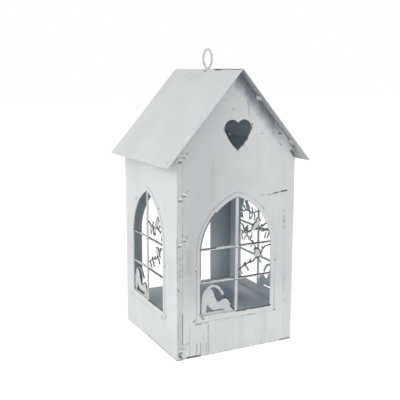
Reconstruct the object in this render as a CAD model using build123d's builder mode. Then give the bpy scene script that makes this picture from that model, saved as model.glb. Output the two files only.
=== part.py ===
"""Hanging sheet-metal birdhouse lantern.

Frame: millimetres, +Z up, origin at the centre of the footprint on the ground.
The gable with the heart faces -Y, the ridge runs along Y.
Each wall is drawn as seen from outside: u runs to the right, v up, and depth runs inward.
"""

from build123d import *
from math import acos, atan2, cos, degrees, radians, sin, sqrt, tan
import os

# Body
sheet = 1.0
half = 70.0             # centre to a wall's outer face
bend = 1.0              # corner bend, at the middle of the sheet
bend_relief = 0.6       # gap between a panel's free edge and the next wall's bend
flange = 6.2            # width of the strip folded onto the next wall

# Roof
ridge_z = 297.5
roof_half = 83.6        # ridge to eave, level
eave_z = 201.7
overhang = 9.0          # past the gables, front and back
gable_gap = 1.0         # between a gable's sloping edge and the roof
shoulder_half = 65.0    # where a gable's slope stops
shoulder_z = 209.5      # gable corner, cut low and clear of the roof
eye_hole_radius = 3.4
eye_y = -1.5            # the eye sits a little forward of the middle of the ridge

# Floor
floor_z = 35.0
floor_edge = 10.0
floor_notch = 4.0

# Windows, drawn in u and v
pane_half = 42.3
sill_z = 43.6
spring_z = 110.0        # where the jambs turn into the arch
arch_radius = 60.4
frame_band = 4.5
frame_bottom_z = 37.4
frame_proud = 0.5
frame_gap = 0.2         # seam between frame and wall
back_grow = 4.0         # the back opening is this much wider than a window's panes
window_shift = {"front": 0.0, "right": 0.0, "left": -5.5}
back_shift = 4.5
bar_width = 3.3
crossbar_height = 2.4
crossbar_reach = 48.6
crossbar_heights = {"upper": 114.8, "lower": 79.6}

# Heart hole
heart_tip_z = 215.5
heart_notch_z = 243.6
heart_half = 15.9
lobe_peak = (9.0, 3.1)          # highest point of a lobe: u, and height over the notch
lobe_side_drop = 7.0            # widest point, below the notch
side_middle = (10.8, 11.3)      # halfway down the side: u, and height over the tip

# Hanging eye
wire_radius = 1.3
eye_radius = 10.0
eye_z = 308.5
neck_bend = 2.0
leg_offset = 1.5        # each leg's distance from the swivel axis
leg_bend = 2.2
leg_z = 286.0
leg_reach = 6.0

# Tack welds
weld_height = 0.8
weld_taper = 30
weld_length = 4.2
weld_width = 2.8
weld_lean = 35
weld_onto_fold = 2.2            # bead on the fold: its centre, back from the fold's free edge
weld_past_fold = 2.4            # bead on the wall: its centre, past the free edge
weld_rise = 4.0                 # the bead on the wall sits this much higher
corner_weld_heights = (10.0, 124.0, 170.0, 208.5)
roof_weld_places = (22.0, 63.0)
roof_weld_length = 7.0
roof_weld_leg = 3.0

# Each wall turns a quarter from the last, anticlockwise from above
wall_turns = {"front": 0, "right": 90, "back": 180, "left": 270}
window_walls = ("front", "right", "left")

# Corner seams: the wall that carries the fold's free edge, and on which of its sides
seams = (("front", -1), ("right", -1), ("back", -1), ("back", 1))

pitch = atan2(ridge_z - eave_z, roof_half)
sheet_drop = sheet / 2 / cos(pitch)
side_height = ridge_z - sheet_drop - half * tan(pitch)

os.makedirs("parts", exist_ok=True)


def write(part, name):
    """Label a finished piece and write it as one STEP file."""
    part.label = name
    export_step(part, f"parts/{name}.step")


def along(turn):
    """Direction of u on the wall at this turn."""
    return Vector(cos(radians(turn)), sin(radians(turn)), 0)


def plan_plane(turn):
    """Ground plane with x along u and y running inward."""
    return Plane(origin=(0, 0, 0), x_dir=along(turn), z_dir=(0, 0, 1))


def face_plane(turn, depth=0.0, shift=0.0):
    """Upright plane with x along u and y up, this far inside the wall's outer face and this far along u."""
    outward = along(turn - 90)
    return Plane(origin=outward * (half - depth) + along(turn) * shift, x_dir=along(turn), z_dir=outward)


def roof_under(x):
    """Height of the roof's underside at this distance from the ridge."""
    return ridge_z - sheet_drop - abs(x) * tan(pitch)


def gable_edge(x):
    """Height of a gable's sloping edge at this distance from the ridge."""
    return roof_under(x) - gable_gap / cos(pitch)


def pointed_arch(grow, bottom_z, mode=Mode.ADD):
    """Window outline: jambs up to the spring line, then two arcs that meet in a point."""
    centre_u = pane_half - arch_radius
    radius = arch_radius + grow
    swing = degrees(acos(-centre_u / radius))
    with BuildLine() as outline:
        Polyline((0, bottom_z), (pane_half + grow, bottom_z), (pane_half + grow, spring_z))
        CenterArc((centre_u, spring_z), radius, 0, swing)
        mirror(about=Plane.YZ)
    make_face(outline.edges(), mode=mode)


def heart():
    """Heart outline: a full lobe and a nearly straight side, mirrored."""
    peak_u, peak_rise = lobe_peak
    side_u, side_rise = side_middle
    widest = (heart_half, heart_notch_z - lobe_side_drop)
    with BuildLine() as outline:
        lobe = ThreePointArc((0, heart_notch_z), (peak_u, heart_notch_z + peak_rise), widest)
        ThreePointArc(lobe @ 1, (side_u, heart_tip_z + side_rise), (0, heart_tip_z))
        mirror(about=Plane.YZ)
    make_face(outline.edges())


def wall_plan(left_fold=False, right_fold=True):
    """A panel seen from above, with the edges that fold round onto the next walls."""
    middle = -half + sheet / 2
    free_edge = half - sheet - bend_relief
    corner = half + sheet / 2
    fold_end = -half + flange
    left_end = [(-corner, fold_end), (-corner, middle)] if left_fold else [(-free_edge, middle)]
    right_end = [(corner, middle), (corner, fold_end)] if right_fold else [(free_edge, middle)]
    with BuildLine() as fold:
        if left_fold or right_fold:
            FilletPolyline(*left_end, *right_end, radius=bend)
        else:
            Line(*left_end, *right_end)
    trace(fold.line, line_width=sheet)


def gable_outline():
    """Gabled wall seen face on, with its corners cut low under the eaves."""
    wide = half + 2 * sheet
    with BuildLine() as outline:
        Polyline(
            (0, 0),
            (wide, 0),
            (wide, shoulder_z),
            (half - sheet, shoulder_z),
            (shoulder_half, gable_edge(shoulder_half)),
            (0, gable_edge(0)),
        )
        mirror(about=Plane.YZ)
    make_face(outline.edges())


# Walls
with BuildPart() as front_wall:
    with BuildSketch(plan_plane(wall_turns["front"])):
        wall_plan()
    extrude(amount=ridge_z)
    with BuildSketch(face_plane(wall_turns["front"], half)):
        gable_outline()
    extrude(amount=2 * half, mode=Mode.INTERSECT)
    with BuildSketch(face_plane(wall_turns["front"], shift=window_shift["front"])):
        pointed_arch(frame_band + frame_gap, frame_bottom_z - frame_gap)
    with BuildSketch(face_plane(wall_turns["front"])):
        heart()
    extrude(amount=-sheet, mode=Mode.SUBTRACT)

with BuildPart() as back_wall:
    with BuildSketch(plan_plane(wall_turns["back"])):
        wall_plan(right_fold=False)
    extrude(amount=ridge_z)
    with BuildSketch(face_plane(wall_turns["back"], half)):
        gable_outline()
    extrude(amount=2 * half, mode=Mode.INTERSECT)
    with BuildSketch(face_plane(wall_turns["back"], shift=back_shift)):
        pointed_arch(back_grow, floor_z)
    extrude(amount=-sheet, mode=Mode.SUBTRACT)

with BuildPart() as right_wall:
    with BuildSketch(plan_plane(wall_turns["right"])):
        wall_plan()
    extrude(amount=side_height)
    with BuildSketch(face_plane(wall_turns["right"], shift=window_shift["right"])):
        pointed_arch(frame_band + frame_gap, frame_bottom_z - frame_gap)
    extrude(amount=-sheet, mode=Mode.SUBTRACT)

with BuildPart() as left_wall:
    with BuildSketch(plan_plane(wall_turns["left"])):
        wall_plan(left_fold=True)
    extrude(amount=side_height)
    with BuildSketch(face_plane(wall_turns["left"], shift=window_shift["left"])):
        pointed_arch(frame_band + frame_gap, frame_bottom_z - frame_gap)
    extrude(amount=-sheet, mode=Mode.SUBTRACT)

write(front_wall.part, "front_wall")
write(back_wall.part, "back_wall")
write(right_wall.part, "right_wall")
write(left_wall.part, "left_wall")

# Floor: a plate with its four edges turned down against the walls
floor_half = half - sheet
with BuildPart() as floor_tray:
    with BuildSketch(Plane.XY.offset(floor_z - floor_edge)):
        Rectangle(2 * floor_half, 2 * floor_half)
    extrude(amount=floor_edge)
    fillet(floor_tray.faces().sort_by(Axis.Z)[-1].edges(), radius=sheet)
    with BuildSketch(Plane.XY.offset(floor_z - floor_edge)):
        Rectangle(2 * (floor_half - sheet), 2 * (floor_half - sheet))
        with GridLocations(2 * floor_half, 2 * floor_half, 2, 2):
            Rectangle(2 * floor_notch, 2 * floor_notch)
    extrude(amount=floor_edge - sheet, mode=Mode.SUBTRACT)
write(floor_tray.part, "floor_tray")

# Roof: one sheet folded along the ridge
with BuildPart() as roof_sheet:
    with BuildSketch(Plane.XZ.offset(-half - overhang)):
        with BuildLine():
            FilletPolyline((-roof_half, eave_z), (0, ridge_z), (roof_half, eave_z), radius=bend)
        trace(line_width=sheet)
    extrude(amount=2 * (half + overhang))
    with BuildSketch(Plane((0, eye_y, leg_z))):
        Circle(eye_hole_radius)
    extrude(amount=ridge_z - leg_z + sheet, mode=Mode.SUBTRACT)
write(roof_sheet.part, "roof_sheet")

# Hanging eye: an open ring whose two ends run down through the ridge and turn apart inside
neck_reach = eye_radius + neck_bend
neck_centre_y = leg_offset + neck_bend
neck_z = eye_z - sqrt(neck_reach**2 - neck_centre_y**2)
ring_gap = degrees(atan2(neck_centre_y, eye_z - neck_z))
eye_plane = Plane(origin=(0, eye_y, 0), x_dir=(0, 1, 0), z_dir=(1, 0, 0))
with BuildPart() as hanging_eye:
    with BuildLine(eye_plane) as wire:
        CenterArc((0, eye_z), eye_radius, ring_gap - 90, 360 - 2 * ring_gap)
        for side in (-1, 1):
            leg = ((side * leg_reach, leg_z), (side * leg_offset, leg_z), (side * leg_offset, neck_z))
            FilletPolyline(*leg, radius=leg_bend)
            start = 180 if side > 0 else 0
            CenterArc((side * neck_centre_y, neck_z), neck_bend, start, -side * (90 - ring_gap))
    with BuildSketch(Plane(origin=(0, eye_y + leg_reach, leg_z), z_dir=(0, -1, 0))):
        Circle(wire_radius)
    sweep(path=wire.wires()[0])
write(hanging_eye.part, "hanging_eye")

# Cat: rump up, back hollowed, head low with a raised ear, paws stretched out on a base strip
strip_top_z = 46.4
strip_bottom_z = 41.0
cat_back = (
    (-41.0, 46.0), (-40.8, 58.0), (-39.0, 67.4), (-34.4, 73.0), (-28.6, 70.8),
    (-26.0, 65.0), (-23.8, 59.8), (-20.8, 56.2), (-17.3, 57.4), (-12.4, 60.8),
)
cat_head_and_paws = ((-12.4, 60.8), (-8.8, 59.4), (-6.2, 55.6), (-5.0, 51.0), (-1.0, 47.2))
cat_tail = ((-34.4, 71.4), (-31.0, 74.0), (-26.6, 74.8), (-21.6, 72.4), (-17.8, 68.4), (-15.0, 63.6))
belly_top = ((-34.0, 55.6), (-30.6, 51.2), (-26.6, 48.4), (-21.0, 48.2), (-14.4, 47.2))
belly_bottom_z = 46.6
belly_ends = (-15.0, -35.4)
paw_tip = (-1.0, 46.0)
tail_width = 2.9
strip_past_jamb = 2.5


def cat():
    """Cat cut-out with the gap under its belly left open."""
    with BuildLine() as outline:
        back = Spline(*cat_back)
        front = Spline(*cat_head_and_paws)
        Polyline(front @ 1, paw_tip, back @ 0)
    make_face(outline.edges())
    with BuildLine() as gap:
        belly = Spline(*belly_top)
        Polyline(belly @ 1, *((u, belly_bottom_z) for u in belly_ends), belly @ 0)
    make_face(gap.edges(), mode=Mode.SUBTRACT)
    with BuildLine() as tail:
        Spline(*cat_tail)
    trace(tail.line, line_width=tail_width)
    strip_height = strip_top_z - strip_bottom_z
    strip_length = pane_half + strip_past_jamb
    with Locations((-strip_length / 2, strip_bottom_z + strip_height / 2)):
        Rectangle(strip_length, strip_height)


def stems(routes, width):
    """Thin twigs, each along its own short run of points."""
    for route in routes:
        with BuildLine() as stem:
            Polyline(*route)
        trace(stem.line, line_width=width)


def leaves(places, length, width):
    """Pointed-oval leaves, each at a place and an angle."""
    for u, v, angle in places:
        with Locations(Location((u, v, 0), (0, 0, angle))):
            Ellipse(length / 2, width / 2)


def bird(body, head, beak, tail):
    """Bird from an oval body, a round head, a beak and a tail."""
    body_u, body_v, body_angle, body_length, body_width = body
    head_u, head_v, head_radius = head
    with Locations(Location((body_u, body_v, 0), (0, 0, body_angle))):
        Ellipse(body_length / 2, body_width / 2)
    with Locations((head_u, head_v)):
        Circle(head_radius)
    for wedge in (beak, tail):
        with BuildLine() as outline:
            Polyline(*wedge, close=True)
        make_face(outline.edges())


twig_width = 1.5
upper_leaf_size = (3.6, 1.9)
lower_leaf_size = (3.4, 1.8)

upper_twigs = (
    ((-1.0, 133.6), (4.6, 131.8), (8.0, 129.6), (12.0, 130.2), (17.0, 128.4)),
    ((15.6, 128.9), (20.6, 130.4), (26.8, 129.4), (32.4, 132.8), (39.2, 137.2)),
    ((12.0, 130.2), (13.2, 133.4)),
    ((8.0, 129.8), (6.8, 126.0), (7.6, 122.8)),
    ((11.6, 130.0), (12.8, 126.2), (15.0, 122.6)),
    ((18.6, 129.6), (19.2, 126.0), (18.8, 122.8)),
    ((26.8, 129.6), (31.6, 128.2), (37.6, 128.0), (40.6, 126.2), (44.6, 126.6)),
    ((36.8, 128.2), (36.8, 124.4), (35.6, 120.8)),
    ((40.6, 126.4), (40.4, 123.2), (39.2, 120.6)),
)
upper_leaves = (
    (13.6, 134.2, 70), (7.6, 122.0, 100), (15.6, 121.8, -60), (18.6, 122.0, 95),
    (32.2, 127.4, -20), (37.4, 129.0, 10), (35.4, 120.0, 75), (38.8, 120.0, 75), (31.0, 133.4, 60),
)
lower_twigs = (
    ((-1.0, 87.4), (4.0, 88.6), (9.5, 92.3), (15.7, 94.7), (20.5, 95.1), (23.6, 98.3), (26.7, 100.0)),
    ((26.7, 100.0), (30.7, 102.7), (33.0, 107.2), (36.2, 110.4), (43.8, 111.6)),
    ((4.6, 88.9), (6.8, 84.9)),
    ((9.5, 92.3), (13.0, 91.0), (14.6, 87.8)),
    ((23.6, 98.3), (28.4, 97.2), (30.0, 94.2)),
    ((33.0, 107.2), (32.4, 110.6)),
)
lower_leaves = ((7.2, 84.2, -60), (15.0, 87.0, -65), (30.4, 93.6, -60), (10.8, 94.6, 60), (17.8, 97.0, 70))


def upper_bird():
    """Bird on a leafy twig that spans the upper pane from mullion to arch."""
    stems(upper_twigs, twig_width)
    leaves(upper_leaves, *upper_leaf_size)
    bird(
        body=(23.2, 134.4, 52, 12.6, 6.6),
        head=(26.4, 140.0, 2.9),
        beak=((28.4, 141.0), (30.8, 138.0), (27.4, 138.2)),
        tail=((20.6, 133.4), (22.2, 130.6), (15.8, 126.8), (14.8, 128.2)),
    )
    stems((((24.6, 131.4), (25.4, 129.2)),), twig_width)


def lower_bird():
    """Bird on a branch that climbs from the mullion to the right jamb."""
    stems(lower_twigs, twig_width)
    leaves(lower_leaves, *lower_leaf_size)
    stems((((10.8, 94.6), (9.5, 92.3)), ((17.8, 97.0), (16.6, 94.8))), twig_width)
    bird(
        body=(26.4, 104.2, 65, 9.6, 7.4),
        head=(25.4, 107.4, 2.7),
        beak=((23.6, 109.2), (20.8, 108.8), (23.0, 106.4)),
        tail=((27.4, 102.8), (29.2, 104.6), (33.2, 100.2), (32.0, 99.2)),
    )


# Window pieces. Frame and mullion stand in the opening, all the rest lies flat behind them.
for wall in window_walls:
    turn = wall_turns[wall]
    shift = window_shift[wall]
    behind = face_plane(turn, 2 * sheet, shift)

    with BuildPart() as window_frame:
        with BuildSketch(face_plane(turn, sheet, shift)):
            pointed_arch(frame_band, frame_bottom_z)
            pointed_arch(0, sill_z, mode=Mode.SUBTRACT)
        extrude(amount=sheet + frame_proud)
    write(window_frame.part, f"{wall}_window_frame")

    with BuildPart() as mullion:
        with BuildSketch(face_plane(turn, sheet, shift)):
            pointed_arch(0, sill_z)
            with Locations((0, spring_z)):
                Rectangle(bar_width, 2 * spring_z, mode=Mode.INTERSECT)
        extrude(amount=sheet + frame_proud / 2)
    write(mullion.part, f"{wall}_mullion")

    for level, height in crossbar_heights.items():
        with BuildPart() as crossbar:
            with BuildSketch(behind):
                with Locations((0, height)):
                    Rectangle(2 * crossbar_reach, crossbar_height)
            extrude(amount=sheet)
        write(crossbar.part, f"{wall}_{level}_crossbar")

    for name, cut_out in (("cat", cat), ("upper_bird", upper_bird), ("lower_bird", lower_bird)):
        with BuildPart() as figure:
            with BuildSketch(behind):
                cut_out()
            extrude(amount=sheet)
        write(figure.part, f"{wall}_{name}")

# Corner welds: at each height one bead on the fold and one just past its free edge, a little higher
with BuildPart() as corner_welds:
    for wall, side in seams:
        turn = wall_turns[wall]
        fold_edge = half - flange
        on_fold = [
            Location((side * (fold_edge + weld_onto_fold), z, 0), (0, 0, side * weld_lean))
            for z in corner_weld_heights
        ]
        past_fold = [
            Location((side * (fold_edge - weld_past_fold), z + weld_rise, 0), (0, 0, side * weld_lean))
            for z in corner_weld_heights
        ]
        with BuildSketch(face_plane(turn, -sheet)):
            with Locations(*on_fold):
                SlotOverall(weld_length, weld_width)
        extrude(amount=weld_height, taper=weld_taper)
        with BuildSketch(face_plane(turn)):
            with Locations(*past_fold):
                SlotOverall(weld_length, weld_width)
        extrude(amount=weld_height, taper=weld_taper)
write(corner_welds.part, "corner_welds")

# Roof welds: short fillets in the corner between each gable and the roof
with BuildPart() as roof_welds:
    for end in (-1, 1):
        for side in (-1, 1):
            for place in roof_weld_places:
                root = (side * place, end * half, roof_under(place))
                slope = (side * cos(pitch), 0, -sin(pitch))
                with BuildSketch(Plane(origin=root, x_dir=(0, end, 0), z_dir=slope)):
                    inward = -1 if side * end > 0 else 1
                    with BuildLine():
                        Polyline((0, 0), (roof_weld_leg, 0), (0, inward * roof_weld_leg), close=True)
                    make_face()
                extrude(amount=roof_weld_length)
write(roof_welds.part, "roof_welds")

# Window welds: beads beside each frame, and a button where the mullion crosses each bar
bead_length = 4.4
bead_width = 1.6
bead_offset = frame_band + frame_gap + bead_width / 2
button_radius = 1.8
arch_weld_swing = 42
sill_bead_rise = 1.6            # above the frame's bottom edge
jamb_bead_drop = 14.0           # below the spring line


def frame_bead_places():
    """Each bead's place and angle: two at the sill corners, two up the arch and one on each jamb."""
    centre_u = pane_half - arch_radius
    radius = arch_radius + bead_offset
    arch_u = centre_u + radius * cos(radians(arch_weld_swing))
    arch_v = spring_z + radius * sin(radians(arch_weld_swing))
    places = []
    for side in (-1, 1):
        places.append((side * (pane_half + bead_offset), frame_bottom_z + sill_bead_rise, 90))
        places.append((side * (pane_half + bead_offset), spring_z - jamb_bead_drop, 90))
        places.append((side * arch_u, arch_v, side * (90 + arch_weld_swing)))
    return [Location((u, v, 0), (0, 0, angle)) for u, v, angle in places]


with BuildPart() as window_welds:
    for wall in window_walls:
        turn = wall_turns[wall]
        shift = window_shift[wall]
        with BuildSketch(face_plane(turn, shift=shift)):
            with Locations(*frame_bead_places()):
                SlotOverall(bead_length, bead_width)
        extrude(amount=weld_height, taper=weld_taper)
        with BuildSketch(face_plane(turn, -frame_proud / 2, shift)):
            with Locations(*[(0, height) for height in crossbar_heights.values()]):
                Circle(button_radius)
        extrude(amount=weld_height / 2, taper=weld_taper)
write(window_welds.part, "window_welds")
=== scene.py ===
"""Looks for the hanging sheet-metal birdhouse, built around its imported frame.

Metres, +Z up, origin at the centre of the footprint. The gable with the heart faces -Y.
Every sheet is rebuilt with rolled edges and a slight hand-made warp. The outside is
distressed whitewash over dark steel, and the inside is slate-grey paint.
"""

import math

import bmesh
import bpy
import numpy as np
from mathutils import Matrix, Vector, noise


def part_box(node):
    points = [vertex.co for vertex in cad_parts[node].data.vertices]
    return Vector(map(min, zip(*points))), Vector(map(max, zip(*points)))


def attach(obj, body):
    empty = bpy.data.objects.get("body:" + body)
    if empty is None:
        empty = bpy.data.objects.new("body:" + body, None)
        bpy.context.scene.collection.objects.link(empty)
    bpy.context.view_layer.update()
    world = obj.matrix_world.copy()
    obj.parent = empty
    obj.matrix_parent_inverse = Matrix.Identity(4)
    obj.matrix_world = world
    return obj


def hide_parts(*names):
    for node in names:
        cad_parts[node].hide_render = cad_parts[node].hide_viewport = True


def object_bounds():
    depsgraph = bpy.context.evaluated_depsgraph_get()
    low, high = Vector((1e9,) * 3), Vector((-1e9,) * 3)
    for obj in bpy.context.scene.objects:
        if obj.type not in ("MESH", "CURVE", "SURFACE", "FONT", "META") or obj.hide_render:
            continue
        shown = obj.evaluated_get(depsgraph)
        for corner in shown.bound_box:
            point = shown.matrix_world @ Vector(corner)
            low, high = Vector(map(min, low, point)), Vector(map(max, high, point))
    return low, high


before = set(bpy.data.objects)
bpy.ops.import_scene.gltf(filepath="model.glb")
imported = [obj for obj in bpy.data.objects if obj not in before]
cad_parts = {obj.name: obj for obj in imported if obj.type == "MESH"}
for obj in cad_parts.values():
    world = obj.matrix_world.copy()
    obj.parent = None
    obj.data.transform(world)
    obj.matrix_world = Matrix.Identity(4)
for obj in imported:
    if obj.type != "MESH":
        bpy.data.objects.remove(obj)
cad_low, cad_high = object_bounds()
roof_low, roof_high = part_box("roof_sheet")

MM = 0.001

# Without a set seed, noise_vector follows the clock
WARP_SEED = 1
noise.seed_set(WARP_SEED)

# Camera: degrees, metres, and millimetres for the lens
CAMERA_AZIMUTH = -26.806
CAMERA_ELEVATION = 10.527
CAMERA_ROLL = 0.102
CAMERA_PLACE = (-0.35408, -0.68494, 0.29546)
CAMERA_LENS = 62.562
SENSOR_WIDTH = 36.0
CLIP_START = 0.01

# Studio: half the floor's width, and how bright the floor glows
FLOOR_REACH = 6.0
FLOOR_GREY = (0.25, 0.25, 0.25, 1)
FLOOR_GLOW = 0.8
WHITE = (1, 1, 1, 1)

# Walls and roof
WALLS = ("front", "right", "back", "left")
WINDOW_WALLS = ("front", "right", "left")
INNER_HALF = 69.5 * MM      # inner faces of the walls
FRONT_FACE = 70.5 * MM      # outer face of the front wall, which the fold lies on
WALL_NEAREST = 67.4 * MM    # no face of a wall's sheet is nearer to the middle, only cut edges
ROOF_LIP = 0.7 * MM         # height of the eave's cut edge
RIDGE_Z = 297.5 * MM
ROOF_COS = 0.657
ROOF_SIN = 0.753
SHOULDER_HALF = 65.0 * MM   # corners of the back gable's slopes, and how far they run on
SHOULDER_Z = 212 * MM
SHOULDER_RUN = 3.4 * MM

# Holes whose cut edges are painted over: half width, and heights
WINDOW_HOLE = (52 * MM, 30 * MM, 180 * MM)
HEART_HOLE = (17 * MM, 212 * MM, 250 * MM)
EYE_HOLE = (6 * MM, 280 * MM)

# Rubbed places on the front, in millimetres on the wall: the front left corner's welds, and
# the inner edge of the window frame's left side, an upright jamb with an arch over it
WELD_HEIGHTS = (10.0, 124.0, 170.0, 208.5)
JAMB_U = 42.6
ARCH_U = 18.1
ARCH_V = 110.0
ARCH_WEAR = 60.8
ARCH_STEP = 5

# Material slots of a wall or the roof. EXTRA is the fold on the front, or the overhang's underside
OUTER, INNER, CUT_EDGE, EXTRA = range(4)

# Sheet work
EDGE_ROLL = 0.16 * MM
SHARP_ANGLE = math.radians(35)
FLAT_ANGLE = math.radians(0.6)
GRID_STEP = 8 * MM
WARP_DEPTH = 0.45 * MM
WARP_WAVE = 62 * MM
RIPPLE_DEPTH = 0.12 * MM
RIPPLE_WAVE = 19 * MM
RIPPLE_SHIFT = Vector((5, 5, 5))
TOUCHING = 1e-6

# Which way a face looks, from its normal
FLAT_ON = 0.5
TILTED = 0.3
LEANS_IN = -0.2

# Rubbed edges: how upward they face, and how finely they are followed
UP_FROM = 0.05
UP_FULL = 0.45
RUN_STEP = 3 * MM
SILL_TOP = 50 * MM

# Weld lumps
LUMP_UNEVEN = 0.35
LUMP_WAVES = 1.3
LUMP_GRAIN = 0.16
GRAIN_WAVES = 3.6
# How dark a lump is painted round its foot on the sheet, and on its underside: painted shade
LUMP_RIM_SHADE = 0.35
LUMP_UNDERSIDE_SHADE = 0.55
WELDS = {"corner_welds": ("weld", 1.25), "roof_welds": ("roof_weld", 1.2), "window_welds": ("weld", 1.05)}

# Eye: each leg's points are its distance out from the middle and its height over the foot
LEG_RUN = ((6.0 * MM, 0.0), (3.9 * MM, 0.0), (1.7 * MM, 0.2 * MM), (1.5 * MM, 2.4 * MM), (1.5 * MM, 10 * MM))
RING_POINTS = 32
RING_GAP = 20
WIRE_SIDES = 16
WIRE_UNEVEN = 0.05
WIRE_WAVE = 3.1 * MM
# How dark the wire's sides are painted: painted shade
WIRE_SIDE_SHADE = 0.28
FOOT_HALVES = (2.0 * MM, 2.7 * MM, 1.6 * MM)
FOOT_SEED = Vector((1.7, 2.9, 4.3))

# Linear colours
WASH = (0.588, 0.602, 0.603, 1)
WASH_THIN = (0.44, 0.47, 0.49, 1)
# SHADE is mixed in as painted shade on the front and the overhang, as greying on the roof, and as uneven grey
# on the window pieces
SHADE = (0.11, 0.12, 0.155, 1)
SLATE = (0.47, 0.545, 0.575, 1)
SLATE_DARK = (0.40, 0.47, 0.50, 1)
# The next two are slate in painted shade and in painted light
SLATE_PAINTED_SHADE = (0.19, 0.24, 0.285, 1)
SLATE_PAINTED_LIGHT = (0.56, 0.615, 0.64, 1)
STEEL = (0.018, 0.020, 0.024, 1)
RUST = (0.060, 0.054, 0.050, 1)

# Paint and metal
TONE_LOW = 0.965
TONE_HIGH = 1.03
SPECULAR = 0.35
BUMP_STRENGTH = 0.35
BUMP_DEPTH = 0.12 * MM


def add_node(tree, kind, values=None, **settings):
    """A new node, with its settings made and its inputs linked or set."""
    made = tree.nodes.new(kind)
    for key, value in settings.items():
        setattr(made, key, value)
    for key, value in (values or {}).items():
        if isinstance(value, bpy.types.NodeSocket):
            tree.links.new(value, made.inputs[key])
        else:
            made.inputs[key].default_value = value
    return made


class Recipe:
    """One material under construction."""

    def __init__(self, name):
        self.material = bpy.data.materials.new(name)
        self.material.use_nodes = True
        self.tree = self.material.node_tree
        self.tree.nodes.clear()
        self.place = self.add("ShaderNodeTexCoord").outputs["Object"]

    def add(self, kind, values=None, **settings):
        return add_node(self.tree, kind, values, **settings)

    def calc(self, operation, *values):
        return self.add("ShaderNodeMath", dict(enumerate(values)), operation=operation).outputs[0]

    def vector(self, operation, *values):
        return self.add("ShaderNodeVectorMath", dict(enumerate(values)), operation=operation).outputs[0]

    def noise(self, scale, stretch=(1, 1, 1), detail=2.0, shift=0.0):
        point = self.vector("MULTIPLY_ADD", self.place, stretch, (shift, shift * 0.7, shift * 0.4))
        values = {"Vector": point, "Scale": scale, "Detail": detail}
        return self.add("ShaderNodeTexNoise", values).outputs[0]

    def band(self, value, low, high, to_low=0.0, to_high=1.0):
        values = {"Value": value, "From Min": low, "From Max": high, "To Min": to_low, "To Max": to_high}
        return self.add("ShaderNodeMapRange", values, interpolation_type="SMOOTHSTEP").outputs[0]

    def mix(self, factor, a, b):
        return self.add("ShaderNodeMix", {0: factor, 6: a, 7: b}, data_type="RGBA").outputs[2]

    def axis(self, index):
        """One coordinate of the point, in metres."""
        return self.add("ShaderNodeSeparateXYZ", {0: self.place}).outputs[index]

    def finish(self, colour, roughness, height):
        bump = {"Strength": BUMP_STRENGTH, "Distance": BUMP_DEPTH, "Height": height}
        normal = self.add("ShaderNodeBump", bump).outputs[0]
        values = {"Base Color": colour, "Roughness": roughness, "Normal": normal}
        shader = self.add("ShaderNodeBsdfPrincipled", values)
        shader.inputs["Specular IOR Level"].default_value = SPECULAR
        self.add("ShaderNodeOutputMaterial", {"Surface": shader.outputs[0]})
        return self.material


def stroke_group():
    """Node group: how strongly a point lies on a broken line between two places."""
    tree = bpy.data.node_groups.new("stroke", "ShaderNodeTree")
    kinds = {"Point": "Vector", "Start": "Vector", "End": "Vector", "Width": "Float", "Cover": "Float"}
    for name, kind in kinds.items():
        tree.interface.new_socket(name, in_out="INPUT", socket_type=f"NodeSocket{kind}")
    tree.interface.new_socket("Mask", in_out="OUTPUT", socket_type="NodeSocketFloat")
    given = tree.nodes.new("NodeGroupInput").outputs

    def add(kind, values, **settings):
        return add_node(tree, kind, values, **settings).outputs

    def vector(operation, *values):
        return add("ShaderNodeVectorMath", dict(enumerate(values)), operation=operation)

    def number(operation, *values):
        return add("ShaderNodeMath", dict(enumerate(values)), operation=operation)[0]

    # Distance from the line
    reach = vector("SUBTRACT", given["Point"], given["Start"])[0]
    run = vector("SUBTRACT", given["End"], given["Start"])[0]
    run_squared = vector("DOT_PRODUCT", run, run)["Value"]
    along = number("DIVIDE", vector("DOT_PRODUCT", reach, run)["Value"], run_squared)
    along = add("ShaderNodeClamp", {0: along})[0]
    nearest = add("ShaderNodeVectorMath", {0: run, "Scale": along}, operation="SCALE")[0]
    gap = vector("LENGTH", vector("SUBTRACT", reach, nearest)[0])["Value"]

    # A line of uneven width
    wobble = add("ShaderNodeTexNoise", {"Vector": given["Point"], "Scale": 420.0, "Detail": 2.0})[0]
    wide = number("MULTIPLY", given["Width"], number("ADD", wobble, 0.55))
    near = number("SUBTRACT", 1.0, number("DIVIDE", gap, wide))
    near = add("ShaderNodeClamp", {0: number("MULTIPLY", near, 2.0)})[0]

    # Broken up by gaps, whose edges are softer on a wide line
    gaps = add("ShaderNodeTexNoise", {"Vector": given["Point"], "Scale": 260.0, "Detail": 3.0})[0]
    limit = number("SUBTRACT", 1.0, given["Cover"])
    soft = number("MULTIPLY_ADD", given["Width"], 30.0, 0.025)
    edges = {"From Min": number("SUBTRACT", limit, soft), "From Max": number("ADD", limit, soft)}
    kept = add("ShaderNodeMapRange", {"Value": gaps, **edges})[0]
    final = tree.nodes.new("NodeGroupOutput")
    tree.links.new(number("MULTIPLY", near, kept), final.inputs["Mask"])
    return tree


STROKE = stroke_group()


def strokes(recipe, marks, flat, to_place):
    """The strongest broken line at a point. A mark is start, end, width (millimetres), cover and darkness."""
    point = recipe.vector("MULTIPLY", recipe.place, flat)
    total = 0.0
    for start, end, width, cover, dark in marks:
        values = {"Point": point, "Start": to_place(*start), "End": to_place(*end), "Width": width * MM,
                  "Cover": cover}
        mask = recipe.add("ShaderNodeGroup", values, node_tree=STROKE).outputs[0]
        total = recipe.calc("MAXIMUM", total, recipe.calc("MULTIPLY", mask, dark))
    return total


def tinted(colour, factor):
    return tuple(channel * factor for channel in colour[:3]) + (1,)


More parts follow.
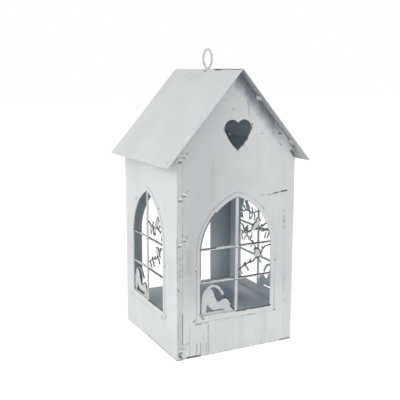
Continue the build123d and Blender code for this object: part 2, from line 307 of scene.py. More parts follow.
def wash(name, streak=0.05, fleck=0.5, marks=(), flat=(1, 1, 1), to_place=None, tint=1.0, bare=0.0,
         shade=None):
    """Whitewashed sheet: brushed paint with thin patches, flecks and scratches down to the steel.

    bare says how far the "bare" attribute darkens the paint towards steel: rubbed paint on the window pieces,
    and painted shade on the welds and the eye's wire. shade adds a broad darkening: painted shade on the
    front, its window frame and the overhang's underside, greying towards the ridge on the roof, and uneven
    grey on the window pieces.
    """
    r = Recipe(name)
    clouds = r.noise(21, detail=3)
    brushed = r.noise(330, stretch=(1, 1, 0.055), detail=3, shift=3)
    broad = r.noise(75, stretch=(1, 1, 0.12), detail=3, shift=13)
    grain = r.noise(900, detail=2, shift=7)
    thin = r.band(r.noise(34, stretch=(1, 1, 0.45), detail=4, shift=11), 0.47, 0.68)

    # Paint, with brush streaks where it is thin
    tone = r.mix(r.band(clouds, 0.35, 0.65), tinted(WASH, TONE_LOW * tint), tinted(WASH, TONE_HIGH * tint))
    if shade:
        tone = r.mix(shade(r), tone, SHADE)
    lines = r.calc("MULTIPLY", r.band(brushed, 0.52, 0.78), streak * 7)
    lines = r.calc("MULTIPLY", lines, r.calc("ADD", 0.25, thin))
    lines = r.calc("ADD", lines, r.calc("MULTIPLY", r.band(broad, 0.5, 0.75), streak * 4))
    colour = r.mix(lines, tone, WASH_THIN)

    # Steel, where flecks, marks and rubbed edges go through the paint. The same dark also stands for painted
    # shade in a few marks, on the welds and along the eye's wire
    spots = r.band(r.noise(520, detail=2, shift=5), 0.70, 0.76)
    patches = r.band(r.noise(46, detail=2, shift=9), 0.50, 0.66)
    worn_and_shaded = r.calc("MULTIPLY", r.calc("MULTIPLY", spots, patches), fleck)
    if marks:
        worn_and_shaded = r.calc("MAXIMUM", worn_and_shaded, strokes(r, marks, flat, to_place))
    if bare:
        rubbed = r.add("ShaderNodeAttribute", attribute_name="bare").outputs["Fac"]
        uneven = r.calc("MULTIPLY_ADD", r.noise(300, detail=3, shift=17), 1.5, -0.75)
        rubbed = r.band(r.calc("MULTIPLY_ADD", rubbed, 1.2, uneven), 0.32, 0.62)
        worn_and_shaded = r.calc("MAXIMUM", worn_and_shaded, r.calc("MULTIPLY", rubbed, bare))
    dark = r.mix(r.band(grain, 0.45, 0.6), STEEL, RUST)
    colour = r.mix(worn_and_shaded, colour, dark)

    rough = r.band(brushed, 0.3, 0.7, 0.48, 0.62)
    height = r.calc("ADD", r.calc("MULTIPLY", brushed, 0.5), r.calc("MULTIPLY", grain, 0.35))
    return r.finish(colour, rough, r.calc("SUBTRACT", height, worn_and_shaded))


def bare_edge(name, cover):
    """Sheared edge: dark steel over so much of it, with the paint left in patches."""
    r = Recipe(name)
    patches = r.noise(240, detail=3, shift=2)
    bare = r.band(patches, 1 - cover - 0.06, 1 - cover + 0.06)
    grain = r.noise(1100, detail=2, shift=4)
    paint = r.mix(grain, WASH_THIN, WASH)
    metal = r.mix(r.band(grain, 0.4, 0.6), STEEL, RUST)
    colour = r.mix(bare, paint, metal)
    return r.finish(colour, r.band(grain, 0.3, 0.7, 0.5, 0.66), r.calc("SUBTRACT", grain, bare))


def slate(name, painted_shade_at, painted_light_at):
    """Slate-grey paint on the inside, mottled and slightly streaked. Its first function gives where painted
    shade darkens it, and its second where painted light lightens it.
    """
    r = Recipe(name)
    clouds = r.noise(26, detail=4)
    brushed = r.noise(300, stretch=(1, 1, 0.07), detail=3, shift=3)
    grain = r.noise(1000, detail=2, shift=6)
    colour = r.mix(r.band(clouds, 0.3, 0.7), SLATE_DARK, SLATE)
    colour = r.mix(r.calc("MULTIPLY", r.band(brushed, 0.5, 0.8), 0.25), colour, WASH_THIN)
    # Painted shade, then painted light
    colour = r.mix(painted_shade_at(r), colour, SLATE_PAINTED_SHADE)
    colour = r.mix(painted_light_at(r), colour, SLATE_PAINTED_LIGHT)
    return r.finish(colour, r.band(clouds, 0.3, 0.7, 0.5, 0.62), r.calc("ADD", brushed, grain))


def on_front(u, v):
    return (u * MM, 0.0, v * MM)


def on_left(u, v):
    return (0.0, -u * MM, v * MM)


def on_roof(y, down):
    """A point of the left slope, so far down from the ridge."""
    run = Vector((roof_low.x, roof_low.z + ROOF_LIP - roof_high.z)).normalized() * (down * MM)
    return (run[0], y * MM, roof_high.z + run[1])


def on_arch(angle):
    """A point of the front frame's left arch on the wall, so many degrees up from its foot."""
    turn = math.radians(angle)
    return (ARCH_U - ARCH_WEAR * math.cos(turn), ARCH_V + ARCH_WEAR * math.sin(turn))


def front_shade(r):
    """Painted shade over the front's upper left, and a band of painted shadow under the right slope's edge.
    """
    across = r.band(r.axis(0), -30 * MM, 40 * MM, 1.0, 0.38)
    upward = r.band(r.axis(2), 22 * MM, 95 * MM)
    corner = r.calc("MULTIPLY", r.calc("MULTIPLY", across, upward), 0.25)
    sideways = r.calc("MULTIPLY", r.calc("ABSOLUTE", r.axis(0)), ROOF_SIN)
    drop = r.calc("MULTIPLY", r.calc("SUBTRACT", RIDGE_Z, r.axis(2)), ROOF_COS)
    under_roof = r.calc("SUBTRACT", drop, sideways)
    uneven = r.calc("MULTIPLY_ADD", r.noise(90, detail=3, shift=31), 8 * MM, -4 * MM)
    rake = r.band(r.calc("ADD", under_roof, uneven), 4 * MM, 19 * MM, 1.0, 0.0)
    side = r.band(r.axis(0), -9 * MM, 1 * MM, 0.0, 0.92)
    side = r.calc("MULTIPLY", side, r.band(r.axis(0), 40 * MM, 56 * MM, 1.0, 0.4))
    return r.calc("MAXIMUM", corner, r.calc("MULTIPLY", rake, side))


def roof_shade(r):
    """The slopes are slightly greyer towards the ridge."""
    return r.band(r.axis(2), 200 * MM, 300 * MM, 0.05, 0.175)


def overhang_shade(r):
    """Painted shade on the overhang's underside, darker towards the ridge."""
    return r.band(r.axis(2), 205 * MM, 290 * MM, 0.2, 0.5)


def window_shade(r):
    """Uneven grey on the bars and figures."""
    return r.band(r.noise(60, detail=2, shift=21), 0.3, 0.7, 0.06, 0.2)


def inside_painted_shade(r):
    """Painted shade: the inside is darker above the sills, and at the back wall's left end."""
    high = r.band(r.axis(2), 60 * MM, 105 * MM, 0.0, 0.4)
    return r.calc("MAXIMUM", high, r.band(r.axis(0), -60 * MM, -20 * MM, 0.35, 0.0))


def inside_painted_light(r):
    """Painted light on the right wall's rear end, and on the back wall beside its opening."""
    right_wall = r.band(r.axis(0), 68.3 * MM, 69.2 * MM)
    right_wall = r.calc("MULTIPLY", right_wall, r.band(r.axis(1), 20 * MM, 60 * MM, 0.3, 0.9))
    beside = r.band(r.axis(0), 0.0, 40 * MM)
    beside = r.calc("MULTIPLY", beside, r.band(r.axis(0), 44 * MM, 60 * MM, 0.9, 0.0))
    beside = r.calc("MULTIPLY", beside, r.band(r.axis(1), 67 * MM, 69 * MM))
    low = r.band(r.axis(2), 60 * MM, 105 * MM, 1.0, 0.1)
    return r.calc("MULTIPLY", low, r.calc("MAXIMUM", right_wall, beside))


def floor_painted_shade(r):
    """Painted shade: the floor is dark in its middle."""
    across = r.band(r.axis(0), -45 * MM, 0.0, 0.3, 1.0)
    across = r.calc("MULTIPLY", across, r.band(r.axis(0), 38 * MM, 60 * MM, 1.0, 0.0))
    along = r.band(r.axis(1), -50 * MM, -10 * MM, 0.3, 1.0)
    along = r.calc("MULTIPLY", along, r.band(r.axis(1), 25 * MM, 60 * MM, 1.0, 0.4))
    return r.calc("MULTIPLY", across, along)


def floor_painted_light(r):
    """Painted light: the floor is lighter along the right wall."""
    return r.band(r.axis(0), 45 * MM, 66 * MM, 0.0, 0.35)


# Worn lines and smudges, each as start, end, width (all in millimetres on the sheet), cover and darkness. A
# few stand for painted shade, as noted at each
FRONT_MARKS = [
    ((22.5, 166.8), (41.6, 166.9), 0.60, 0.46, 0.70),
    ((43.0, 167.2), (51.0, 168.6), 0.90, 0.50, 0.85),
    ((54.0, 168.9), (60.6, 169.5), 1.10, 0.66, 0.95),
    ((57.0, 148.0), (57.8, 130.0), 0.70, 0.50, 0.70),
    ((59.0, 140.0), (59.4, 128.0), 2.20, 0.60, 0.16),
    ((21.6, 231.7), (43.4, 231.8), 0.55, 0.48, 0.50),
    ((49.4, 231.2), (52.4, 230.6), 1.30, 0.70, 0.75),
    ((38.0, 244.0), (50.6, 233.0), 1.40, 0.50, 0.20),
    ((10.5, 267.3), (13.3, 249.9), 0.70, 0.62, 0.40),
    ((16.4, 242.6), (16.6, 240.2), 0.90, 0.90, 0.70),
    ((16.5, 238.6), (16.1, 236.2), 0.80, 0.75, 0.60),
    ((11.4, 228.2), (9.8, 225.8), 1.00, 0.85, 0.70),
    ((7.2, 222.0), (5.8, 220.0), 0.90, 0.85, 0.60),
    ((-16.8, 239.0), (-15.6, 233.0), 0.50, 0.65, 0.45),
    ((-1.6, 216.4), (1.2, 214.8), 0.80, 0.80, 0.50),
    ((50.8, 220.5), (53.0, 217.5), 1.00, 0.55, 0.60),
    ((-6.2, 257.7), (-5.2, 257.2), 0.80, 0.80, 0.70),
    ((-14.4, 267.2), (-13.6, 266.8), 0.80, 0.70, 0.45),
    ((-24.0, 270.1), (-23.2, 269.7), 0.90, 0.70, 0.40),
    ((-28.6, 206.0), (-30.0, 166.0), 1.40, 0.56, 0.12),
    ((-28.8, 198.0), (-29.8, 180.0), 3.20, 0.75, 0.08),
    ((-47.0, 180.0), (-48.0, 120.0), 6.00, 0.60, 0.06),
    ((-55.4, 114.0), (-55.4, 94.0), 4.40, 0.80, 0.14),
    ((-52.0, 136.0), (-53.0, 60.0), 5.00, 0.60, 0.07),
    ((-55.0, 34.0), (-55.0, 5.5), 1.30, 0.62, 0.18),
    ((-47.2, 15.1), (-47.2, 2.4), 0.85, 0.72, 0.42),
    ((-42.3, 14.2), (-42.3, 1.5), 0.85, 0.72, 0.42),
    ((-36.2, 13.1), (-36.2, 1.9), 0.85, 0.66, 0.32),
    ((-33.3, 33.1), (-33.1, 1.3), 1.30, 0.62, 0.30),
    ((-39.0, 24.0), (-39.2, 6.0), 0.70, 0.52, 0.22),
    ((-51.0, 20.0), (-51.0, 4.0), 0.70, 0.52, 0.22),
    ((-63.2, 49.0), (-63.4, 16.6), 0.62, 0.86, 0.92),
    ((-63.3, 205.0), (-63.3, 58.0), 0.55, 0.48, 0.50),
    # These four lines along the bottom edge are partly wear and partly painted shade along the wall's foot
    ((-58.4, 1.3), (-43.0, 0.9), 1.30, 0.80, 0.90),
    ((-69.0, 0.5), (-60.0, 0.5), 0.90, 0.60, 0.80),
    ((-40.0, 0.3), (60.0, 0.3), 0.55, 0.50, 0.60),
    ((56.0, 0.8), (69.5, 1.0), 1.00, 0.62, 0.80),
    # Painted shade: a dark spot for the gap at the right shoulder
    ((65.8, 211.5), (69.2, 207.2), 2.20, 0.80, 0.80),
    ((-45.8, 66.0), (-46.0, 40.5), 0.60, 0.66, 0.60),
    ((-50.2, 39.8), (-48.4, 39.6), 1.30, 1.00, 0.55),
    ((-47.6, 35.6), (-42.0, 35.4), 1.10, 0.90, 0.50),
    ((-30.6, 148.0), (-28.0, 156.8), 1.10, 0.56, 0.60),
    ((45.6, 122.0), (48.0, 40.0), 0.60, 0.70, 0.45),
    ((35.4, 144.2), (45.6, 122.0), 0.60, 0.70, 0.35),
    ((-8.1, 38.2), (25.0, 36.6), 0.80, 0.56, 0.65),
    ((-38.0, 36.6), (-8.0, 36.8), 0.60, 0.50, 0.35),
    ((-38.0, 37.5), (-36.0, 35.5), 1.40, 0.55, 0.35),
    ((47.8, 38.6), (49.4, 37.4), 1.20, 0.70, 0.50),
    ((60.8, 71.8), (61.0, 71.2), 1.00, 0.80, 0.40),
    ((60.6, 58.2), (60.8, 57.6), 0.90, 0.80, 0.35),
    ((61.6, 46.8), (61.8, 46.0), 0.90, 0.80, 0.40),
]
FOLD_MARKS = [
    ((-69.6, 205.0), (-69.6, 132.0), 0.60, 0.42, 0.30),
    ((-69.5, 131.0), (-69.6, 60.0), 0.70, 0.52, 0.50),
    ((-68.8, 76.2), (-67.4, 74.8), 1.20, 0.65, 0.55),
    ((-66.5, 118.0), (-66.5, 84.0), 1.60, 0.48, 0.28),
    ((-67.5, 5.6), (-64.8, 2.6), 1.50, 0.60, 0.85),
    ((-68.6, 40.0), (-68.6, 18.0), 0.80, 0.50, 0.35),
    # Partly wear and partly painted shade along the bottom edge
    ((-71.0, 0.4), (-63.0, 0.4), 0.80, 0.60, 0.80),
]
# Chipped paint beside each of the front left corner's welds
for height in WELD_HEIGHTS:
    FOLD_MARKS.append(((-67.4, height - 2.4), (-64.2, height - 1.2), 1.30, 0.58, 0.75))
    FRONT_MARKS.append(((-62.0, height + 1.6), (-60.2, height + 3.2), 1.20, 0.45, 0.60))
    FRONT_MARKS.append(((-58.4, height + 5.6), (-57.4, height + 7.2), 1.10, 0.55, 0.45))
FRAME_MARKS = [
    ((-43.6, 46.0), (-39.4, 41.4), 2.40, 0.50, 0.62),
    ((-35.0, 41.6), (-20.0, 41.0), 0.90, 0.42, 0.40),
    ((-JAMB_U, 112.0), (-JAMB_U, 86.0), 1.10, 0.78, 0.75),
    ((-JAMB_U, 79.0), (-JAMB_U, 46.0), 1.00, 0.78, 0.75),
    ((30.0, 43.2), (42.0, 42.8), 0.80, 0.45, 0.50),
    ((43.6, 110.0), (43.8, 46.0), 0.50, 0.40, 0.30),
]
FRAME_MARKS += [(on_arch(a), on_arch(a + ARCH_STEP), 1.40, 0.72, 0.85) for a in range(4, 44, ARCH_STEP)]
LEFT_MARKS = [
    # These two lines along the bottom edge are partly wear and partly painted shade along the wall's foot
    ((-69.0, 0.3), (69.0, 0.3), 0.60, 0.52, 0.60),
    ((70.0, 0.8), (-2.0, 0.8), 1.10, 0.72, 0.45),
    ((-2.8, 2.9), (-1.6, 2.0), 1.10, 0.75, 0.60),
    ((32.0, 36.2), (34.0, 34.6), 1.40, 0.62, 0.60),
    ((38.6, 34.8), (40.2, 33.8), 1.30, 0.62, 0.50),
    ((-57.0, 36.2), (16.0, 34.8), 0.50, 0.55, 0.35),
    # A soft band under the eave: partly dirt and partly painted shade
    ((-63.0, 200.0), (60.0, 197.0), 2.40, 0.50, 0.14),
]
ROOF_MARKS = [
    ((-77.0, 0.6), (-20.0, 0.6), 1.50, 0.66, 0.80),
    ((-36.0, 0.8), (-21.0, 0.8), 2.20, 0.90, 0.92),
    ((15.0, 10.0), (22.0, 16.0), 3.00, 0.52, 0.16),
    ((30.0, 6.0), (33.0, 7.0), 1.60, 0.60, 0.22),
    ((-52.0, 14.0), (-46.0, 22.0), 2.60, 0.50, 0.12),
    ((-28.0, 127.0), (7.0, 127.0), 0.90, 0.48, 0.55),
    ((-78.5, 127.0), (-70.0, 127.0), 1.10, 0.60, 0.60),
    ((-73.0, 118.0), (-71.0, 121.0), 1.30, 0.60, 0.40),
]

MATERIALS = {
    "front": wash("whitewash_front", streak=0.10, marks=FRONT_MARKS, flat=(1, 0, 1), to_place=on_front,
                  tint=0.99, shade=front_shade),
    "fold": wash("whitewash_fold", streak=0.16, fleck=1.0, marks=FOLD_MARKS, flat=(1, 0, 1),
                 to_place=on_front, tint=0.80),
    "side": wash("whitewash_side", streak=0.05, marks=LEFT_MARKS, flat=(0, 1, 1), to_place=on_left),
    "roof": wash("whitewash_roof", streak=0.04, fleck=0.35, marks=ROOF_MARKS, to_place=on_roof,
                 shade=roof_shade),
    # The overhang's underside is tinted down as painted shade, and its shade darkens it more towards the
    # ridge
    "overhang": wash("whitewash_overhang", streak=0.05, fleck=0.9, tint=0.86, shade=overhang_shade),
    "window": wash("whitewash_window", streak=0.05, fleck=0.7, tint=0.91, bare=0.96, shade=window_shade),
    "frame": wash("whitewash_frame", streak=0.06, fleck=0.8, bare=0.85),
    "front_frame": wash("whitewash_front_frame", streak=0.06, fleck=0.8, marks=FRAME_MARKS, flat=(1, 0, 1),
                        to_place=on_front, bare=0.90, shade=front_shade),
    "weld": wash("whitewash_weld", streak=0.03, fleck=0.8, bare=0.80),
    # The roof's welds sit under the overhang: their darker tint is painted shade
    "roof_weld": wash("whitewash_roof_weld", streak=0.03, fleck=0.8, tint=0.66, bare=0.60),
    "wire": wash("whitewash_wire", streak=0.03, fleck=0.8, tint=0.93, bare=0.80),
    "sheet_edge": bare_edge("sheet_edge", 0.42),
    "roof_edge": bare_edge("roof_edge", 0.30),
    "inside": slate("slate_inside", inside_painted_shade, inside_painted_light),
    "floor": slate("slate_floor", floor_painted_shade, floor_painted_light),
}


def joined_copy(node):
    """The node's surface as one closed mesh with whole flat faces."""
    mesh = bmesh.new()
    mesh.from_mesh(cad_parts[node].data)
    bmesh.ops.remove_doubles(mesh, verts=mesh.verts, dist=TOUCHING)
    bmesh.ops.dissolve_limit(mesh, angle_limit=FLAT_ANGLE, verts=mesh.verts, edges=mesh.edges)
    return mesh


def roll_edges(mesh, rim=None):
    """Rounds the sharp edges. The narrow round is of its neighbours' material, or of the rim's."""
    sharp = [e for e in mesh.edges if e.is_manifold and e.calc_face_angle() > SHARP_ANGLE]
    made = bmesh.ops.bevel(mesh, geom=sharp, offset=EDGE_ROLL, offset_type="OFFSET", segments=2, profile=0.5,
                           affect="EDGES", clamp_overlap=False, material=-1, loop_slide=True)
    if rim is not None:
        for face in made["faces"]:
            face.material_index = rim


def cut_at(mesh, axis, place):
    """Cuts the faces along a plane square to the axis."""
    direction = Vector((0, 0, 0))
    direction[axis] = 1
    everything = list(mesh.verts) + list(mesh.edges) + list(mesh.faces)
    bmesh.ops.bisect_plane(mesh, geom=everything, plane_co=direction * place, plane_no=direction,
                           dist=TOUCHING)


def cut_grid(mesh, step):
    """Cuts the faces along an even grid, so that they can bend."""
    for axis in range(3):
        low = min(v.co[axis] for v in mesh.verts)
        high = max(v.co[axis] for v in mesh.verts)
        count = int((high - low) / step)
        for i in range(1, count):
            cut_at(mesh, axis, low + (high - low) * i / count)


def warp(point):
    """Where a point of the flat, true house lies on the hand-made one."""
    moved = point + noise.noise_vector(point / WARP_WAVE) * WARP_DEPTH
    moved += noise.noise_vector(point / RIPPLE_WAVE + RIPPLE_SHIFT) * RIPPLE_DEPTH
    return Vector(min(max(moved[i], cad_low[i]), cad_high[i]) for i in range(3))


def make_piece(name, mesh, looks, body, node, bare=None):
    """Turns a finished bmesh into the piece that stands for a node. bare is how dark each vertex is painted:
    rubbed paint on the window pieces, and painted shade on the welds and the eye's wire.
    """
    data = bpy.data.meshes.new(name)
    mesh.to_mesh(data)
    mesh.free()
    if bare is not None:
        data.attributes.new("bare", "FLOAT", "POINT").data.foreach_set("value", list(bare))
    for look in looks:
        data.materials.append(MATERIALS[look])
    data.shade_smooth()
    piece = bpy.data.objects.new(name, data)
    bpy.context.scene.collection.objects.link(piece)
    even = piece.modifiers.new("even_shading", "WEIGHTED_NORMAL")
    even.keep_sharp = True
    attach(piece, body)
    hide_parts(node)


# Walls, roof and floor
def side_of_wall(face):
    """The material slot of a wall's face. EXTRA is the fold on the front."""
    centre = face.calc_center_median()
    normal = face.normal
    if abs(normal.z) > TILTED:
        return CUT_EDGE
    axis = 0 if abs(normal.x) > abs(normal.y) else 1
    if abs(centre[axis]) < WALL_NEAREST:
        return CUT_EDGE
    if normal[axis] * centre[axis] < 0:
        return INNER
    return EXTRA if centre.y < -FRONT_FACE and axis == 1 else OUTER


def side_of_roof(face):
    """The material slot of a face of the roof. EXTRA is the overhang's underside."""
    centre = face.calc_center_median()
    outward = face.normal.x * (1 if centre.x > 0 else -1)
    if abs(face.normal.y) > FLAT_ON:
        return CUT_EDGE
    if face.normal.z > TILTED and outward > LEANS_IN:
        return OUTER
    if face.normal.z < -TILTED and outward < LEANS_IN:
        indoors = abs(centre.x) < INNER_HALF and abs(centre.y) < INNER_HALF
        return INNER if indoors else EXTRA
    return CUT_EDGE


def side_of_floor(face):
    """The floor tray is painted the same on every face."""
    return OUTER


def is_hole_edge(face):
    """True on a cut edge of a window, of the back opening, of the heart or of the eye's hole."""
    centre = face.calc_center_median()
    along = min(abs(centre.x), abs(centre.y))
    for half, low, high in (WINDOW_HOLE, HEART_HOLE):
        if along < half and low < centre.z < high:
            return True
    half, low = EYE_HOLE
    return max(abs(centre.x), abs(centre.y)) < half and centre.z > low


def close_shoulders(mesh):
    """Runs the back gable's slopes on to its corners, so that no daylight shows over the shoulders."""
    for vertex in mesh.verts:
        if vertex.co.z > SHOULDER_Z and abs(abs(vertex.co.x) - SHOULDER_HALF) < MM:
            vertex.co.x += math.copysign(SHOULDER_RUN, vertex.co.x)
            vertex.co.z -= SHOULDER_RUN * ROOF_SIN / ROOF_COS


def sheet_piece(node, looks, side_of, rim=CUT_EDGE, cuts=()):
    """A folded sheet with rolled and bare edges, except round its holes, where the paint covers them."""
    mesh = joined_copy(node)
    if node == "back_wall":
        close_shoulders(mesh)
    for axis, place in cuts:
        cut_at(mesh, axis, place)
    for face in mesh.faces:
        face.material_index = side_of(face)
    roll_edges(mesh, rim)
    for face in mesh.faces:
        if face.material_index == CUT_EDGE and is_hole_edge(face):
            face.material_index = OUTER
    cut_grid(mesh, GRID_STEP)
    for vertex in mesh.verts:
        vertex.co = warp(vertex.co)
    make_piece(f"{node}_painted", mesh, looks, "house", node)


for wall in WALLS:
    paint = "front" if wall == "front" else "side"
    sheet_piece(f"{wall}_wall", (paint, "inside", "sheet_edge", "fold"), side_of_wall)
over_walls = [(axis, side * INNER_HALF) for axis in (0, 1) for side in (-1, 1)]
sheet_piece("roof_sheet", ("roof", "inside", "roof_edge", "overhang"), side_of_roof,
            cuts=over_walls)
sheet_piece("floor_tray", ("floor",), side_of_floor, rim=OUTER)


# Window pieces. Each kind's wear says how rubbed an upward edge is, at a distance u right of the
# window's middle and a height z
def sill_wear(u, z):
    """The frame shows bare steel on the sill right of the mullion only."""
    return 1.0 if z < SILL_TOP and u > 0 else 0.0


def upper_bar_wear(u, z):
    """The upper crossbar keeps more paint just left of the mullion."""
    return 0.35 if -24 * MM < u < 0 else 1.0


def lower_bar_wear(u, z):
    """The lower crossbar keeps more paint left of the mullion."""
    return 0.45 if u < 0 else 1.0


def cat_wear(u, z):
    """The cat is rubbed right through on its head only."""
    return 1.8 if u > -12.5 * MM else 0.3


def even_wear(u, z):
    return 1.0


# How finely a piece is cut up, how far in from an edge it is rubbed, and its wear
WINDOW_PIECES = {
    "window_frame": (2.2 * MM, 1.1 * MM, sill_wear),
    "mullion": (1.2 * MM, 1.2 * MM, even_wear),
    "upper_crossbar": (1.2 * MM, 1.2 * MM, upper_bar_wear),
    "lower_crossbar": (1.2 * MM, 1.2 * MM, lower_bar_wear),
    "cat": (1.6 * MM, 2.4 * MM, cat_wear),
    "upper_bird": (1.6 * MM, 1.8 * MM, even_wear),
    "lower_bird": (1.6 * MM, 1.8 * MM, even_wear),
}


window_middles = {}
for wall in WINDOW_WALLS:
    low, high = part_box(f"{wall}_mullion")
    window_middles[wall] = (low + high) / 2


def right_of_middle(point, wall):
    """How far right of the window's middle a point is, seen from outside."""
    offset = point - window_middles[wall]
    return {"front": offset.x, "right": offset.y, "left": -offset.y}[wall]


def upward_runs(mesh, across, wall, wear):
    """The stretches of a flat cut-out's outline that face upward: two ends, and how far they are rubbed."""
    runs = []
    for face in mesh.faces:
        upward = min(max((face.normal.z - UP_FROM) / (UP_FULL - UP_FROM), 0.0), 1.0)
        if abs(face.normal[across]) > FLAT_ON or not upward:
            continue
        for edge in face.edges:
            a, b = (v.co for v in edge.verts)
            if abs(a[across] - b[across]) > TOUCHING:
                continue
            pieces = max(int((b - a).length / RUN_STEP), 1)
            for i in range(pieces):
                start, end = a.lerp(b, i / pieces), a.lerp(b, (i + 1) / pieces)
                middle = (start + end) / 2
                amount = upward * wear(right_of_middle(middle, wall), middle.z)
                if amount:
                    runs.append((start, end, amount))
    return runs


def rubbed_amounts(mesh, runs, across, reach):
    """How close each vertex is to the upward stretches: 1 on them, 0 a reach away."""
    kept = [i for i in range(3) if i != across]
    points = np.array([v.co for v in mesh.verts])[:, kept]
    amounts = np.zeros(len(points))
    for a, b, upward in runs:
        start, run = np.array(a)[kept], np.array(b - a)[kept]
        share = np.clip((points - start) @ run / max(run @ run, 1e-12), 0, 1)
        gap = np.linalg.norm(points - start - share[:, None] * run, axis=1)
        amounts = np.maximum(amounts, upward * np.clip(1 - gap / reach, 0, 1))
    return amounts


def cut_out_piece(node, wall, look, step, reach, wear):
    """A flat window piece: painted outside and on its edges, slate inside, rubbed bare along upward edges."""
    across = 1 if wall == "front" else 0
    mesh = joined_copy(node)
    runs = upward_runs(mesh, across, wall, wear)
    for face in mesh.faces:
        inward = face.normal[across] * face.calc_center_median()[across] < 0
        face.material_index = INNER if abs(face.normal[across]) > FLAT_ON and inward else OUTER
    roll_edges(mesh)
    cut_grid(mesh, step)
    amounts = rubbed_amounts(mesh, runs, across, reach)
    for vertex in mesh.verts:
        vertex.co = warp(vertex.co)
    make_piece(f"{node}_painted", mesh, (look, "inside"), "house", node, bare=amounts)


for wall in WINDOW_WALLS:
    for kind, (step, reach, wear) in WINDOW_PIECES.items():
        look = "window"
        if kind == "window_frame":
            look = "front_frame" if wall == "front" else "frame"
        if kind == "cat" and wall == "left":
            wear = even_wear
        cut_out_piece(f"{wall}_{kind}", wall, look, step, reach, wear)


# Welds
def islands(mesh):
    """The separate solids of a mesh, each as a list of its vertices."""
    left = set(mesh.verts)
    while left:
        stack = [min(left, key=lambda v: v.index)]
        group = []
        left.discard(stack[0])
        while stack:
            vertex = stack.pop()
            group.append(vertex)
            for edge in vertex.link_edges:
                other = edge.other_vert(vertex)
                if other in left:
                    left.discard(other)
                    stack.append(other)
        yield group


def bead_frame(group):
    """Centre, axes from longest to shortest, and half sizes of one weld bead."""
    points = np.array([v.co for v in group])
    centre = (points.max(0) + points.min(0)) / 2
    axes = np.linalg.svd(points - points.mean(0), full_matrices=False)[2]
    along = (points - centre) @ axes.T
    return Vector(centre), [Vector(a) for a in axes], (along.max(0) - along.min(0)) / 2


def add_lump(mesh, centre, axes, halves, seed):
    """A small uneven lump of filler metal. Gives back how dark each of its vertices is painted: painted shade
    round its foot and on its underside.
    """
    made = bmesh.ops.create_icosphere(mesh, subdivisions=3, radius=1.0)
    amounts = []
    for vertex in made["verts"]:
        unit = vertex.co.copy()
        bulge = 1 + LUMP_UNEVEN * noise.noise(unit * LUMP_WAVES + seed)
        bulge += LUMP_GRAIN * noise.noise(unit * GRAIN_WAVES - seed)
        place = sum((axes[i] * (unit[i] * halves[i] * bulge) for i in range(3)), centre.copy())
        vertex.co = warp(place)
        # Painted shade round the lump's foot and on its underside
        side_on = 1 - abs(unit[2])
        downward = max(-(place - centre).normalized().z, 0.0)
        amounts.append(LUMP_RIM_SHADE * side_on ** 3 + LUMP_UNDERSIDE_SHADE * downward)
    return amounts


for node, (look, spread) in WELDS.items():
    source = joined_copy(node)
    source.verts.index_update()
    lumps = bmesh.new()
    # rubbed gathers the lumps' painted shade
    rubbed = []
    for count, group in enumerate(islands(source)):
        centre, axes, halves = bead_frame(group)
        seed = Vector((count * 7.3, count * 3.1, count * 5.9))
        rubbed += add_lump(lumps, centre, axes, halves * spread, seed)
    source.free()
    make_piece(f"{node}_beads", lumps, (look,), "house", node, bare=rubbed)


# Eye
def eye_points():
    """Control points of the wire, up one leg, round the ring and down the other leg, and its radius."""
    low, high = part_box("hanging_eye")
    radius = (high.x - low.x) / 2
    middle = (low.y + high.y) / 2
    ring = (high.y - low.y) / 2 - radius
    ring_z = high.z - radius - ring
    foot_z = low.z + radius
    legs = []
    for side in (-1, 1):
        legs.append([Vector((0, middle + side * out, foot_z + rise)) for out, rise in LEG_RUN])
    arc = []
    for i in range(RING_POINTS + 1):
        angle = math.radians(-90 + RING_GAP + (360 - 2 * RING_GAP) * i / RING_POINTS)
        arc.append(Vector((0, middle + ring * math.cos(angle), ring_z + ring * math.sin(angle))))
    return legs[1] + arc + legs[0][::-1], radius


def smooth_line(points):
    """The points of a smooth curve through the neighbourhood of the control points."""
    curve = bpy.data.curves.new("guide", "CURVE")
    curve.dimensions = "3D"
    curve.resolution_u = 4
    line = curve.splines.new("NURBS")
    line.points.add(len(points) - 1)
    for control, place in zip(line.points, points):
        control.co = (*place, 1)
    line.order_u = 3
    line.use_endpoint_u = True
    guide = bpy.data.objects.new("guide", curve)
    bpy.context.scene.collection.objects.link(guide)
    path = [v.co.copy() for v in bpy.data.meshes.new_from_object(guide).vertices]
    bpy.data.objects.remove(guide)
    return path


def sweep_wire(mesh, path, radius):
    """A round wire along the path, closed at both ends. Gives back how dark each vertex is painted: painted
    shade along its sides.
    """
    rings = []
    rubbed = []
    across = Vector((1, 0, 0))
    for i, point in enumerate(path):
        before, after = path[max(i - 1, 0)], path[min(i + 1, len(path) - 1)]
        outward = (after - before).normalized().cross(across).normalized()
        swell = radius * (1 + WIRE_UNEVEN * noise.noise(point / WIRE_WAVE))
        ring = []
        for k in range(WIRE_SIDES):
            angle = 2 * math.pi * k / WIRE_SIDES
            turned = across * math.cos(angle) + outward * math.sin(angle)
            ring.append(mesh.verts.new(point + turned * swell))
            # Painted shade on the sides of the wire that face in and out of the ring
            rubbed.append(WIRE_SIDE_SHADE * math.sin(angle) ** 2)
        rings.append(ring)
    for lower, upper in zip(rings, rings[1:]):
        for k in range(WIRE_SIDES):
            after = (k + 1) % WIRE_SIDES
            mesh.faces.new((lower[k], lower[after], upper[after], upper[k]))
    mesh.faces.new(rings[0][::-1])
    mesh.faces.new(rings[-1])
    bmesh.ops.recalc_face_normals(mesh, faces=mesh.faces)
    return rubbed


controls, wire_radius = eye_points()
wire = bmesh.new()
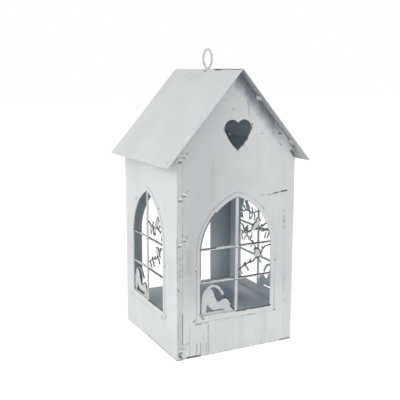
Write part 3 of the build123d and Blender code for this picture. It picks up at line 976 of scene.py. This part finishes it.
# rubbed gathers painted shade: along the wire's sides and round its foot lump
rubbed = sweep_wire(wire, smooth_line(controls), wire_radius)
for vertex in wire.verts:
    vertex.co.z = min(vertex.co.z, cad_high.z)
foot = Vector((0, (controls[0].y + controls[-1].y) / 2, roof_high.z))
rubbed += add_lump(wire, foot, Matrix.Identity(3), FOOT_HALVES, FOOT_SEED)
make_piece("hanging_eye_wire", wire, ("wire",), "eye", "hanging_eye", bare=rubbed)


# Studio
def floor_material():
    r = Recipe("studio_floor")
    shader = r.add("ShaderNodeBsdfPrincipled", {"Base Color": FLOOR_GREY, "Roughness": 0.9})
    shader.inputs["Emission Color"].default_value = WHITE
    shader.inputs["Emission Strength"].default_value = FLOOR_GLOW
    r.add("ShaderNodeOutputMaterial", {"Surface": shader.outputs[0]})
    return r.material


floor_mesh = bpy.data.meshes.new("studio_floor")
corners = [(x * FLOOR_REACH, y * FLOOR_REACH, 0) for x, y in ((-1, -1), (1, -1), (1, 1), (-1, 1))]
floor_mesh.from_pydata(corners, [], [(0, 1, 2, 3)])
floor_mesh.materials.append(floor_material())
studio_floor = bpy.data.objects.new("studio_floor", floor_mesh)
bpy.context.scene.collection.objects.link(studio_floor)

world = bpy.data.worlds.new("studio")
world.use_nodes = True
background = world.node_tree.nodes["Background"]
background.inputs["Color"].default_value = WHITE
background.inputs["Strength"].default_value = 1.0
bpy.context.scene.world = world


def soft_light(name, place, target, size, power):
    """A square soft light of so many metres and watts, turned to its target."""
    data = bpy.data.lights.new(name, "AREA")
    data.shape = "RECTANGLE"
    data.size = data.size_y = size
    data.energy = power
    lamp = bpy.data.objects.new(name, data)
    lamp.location = place
    lamp.rotation_euler = (Vector(target) - Vector(place)).to_track_quat("-Z", "Y").to_euler()
    bpy.context.scene.collection.objects.link(lamp)


soft_light("key", place=(-1.6, -0.3, 0.7), target=(0, 0, 0.15), size=1.4, power=7)
soft_light("fill", place=(0.5, -0.7, 0.1), target=(0.03, -0.07, 0.1), size=0.5, power=0.8)

# Camera
azimuth, elevation = math.radians(CAMERA_AZIMUTH), math.radians(CAMERA_ELEVATION)
level = math.cos(elevation)
back = Vector((math.sin(azimuth) * level, -math.cos(azimuth) * level, math.sin(elevation)))
right = Vector((0, 0, 1)).cross(back).normalized()
up = back.cross(right)
turned = Matrix((right, up, back)).transposed().to_4x4() @ Matrix.Rotation(math.radians(CAMERA_ROLL), 4, "Z")
camera_data = bpy.data.cameras.new("photo_camera")
camera_data.lens = CAMERA_LENS
camera_data.sensor_width = SENSOR_WIDTH
camera_data.clip_start = CLIP_START
camera = bpy.data.objects.new("photo_camera", camera_data)
camera.matrix_world = Matrix.Translation(CAMERA_PLACE) @ turned
bpy.context.scene.collection.objects.link(camera)
bpy.context.scene.camera = camera
bpy.context.scene.view_settings.view_transform = "Standard"
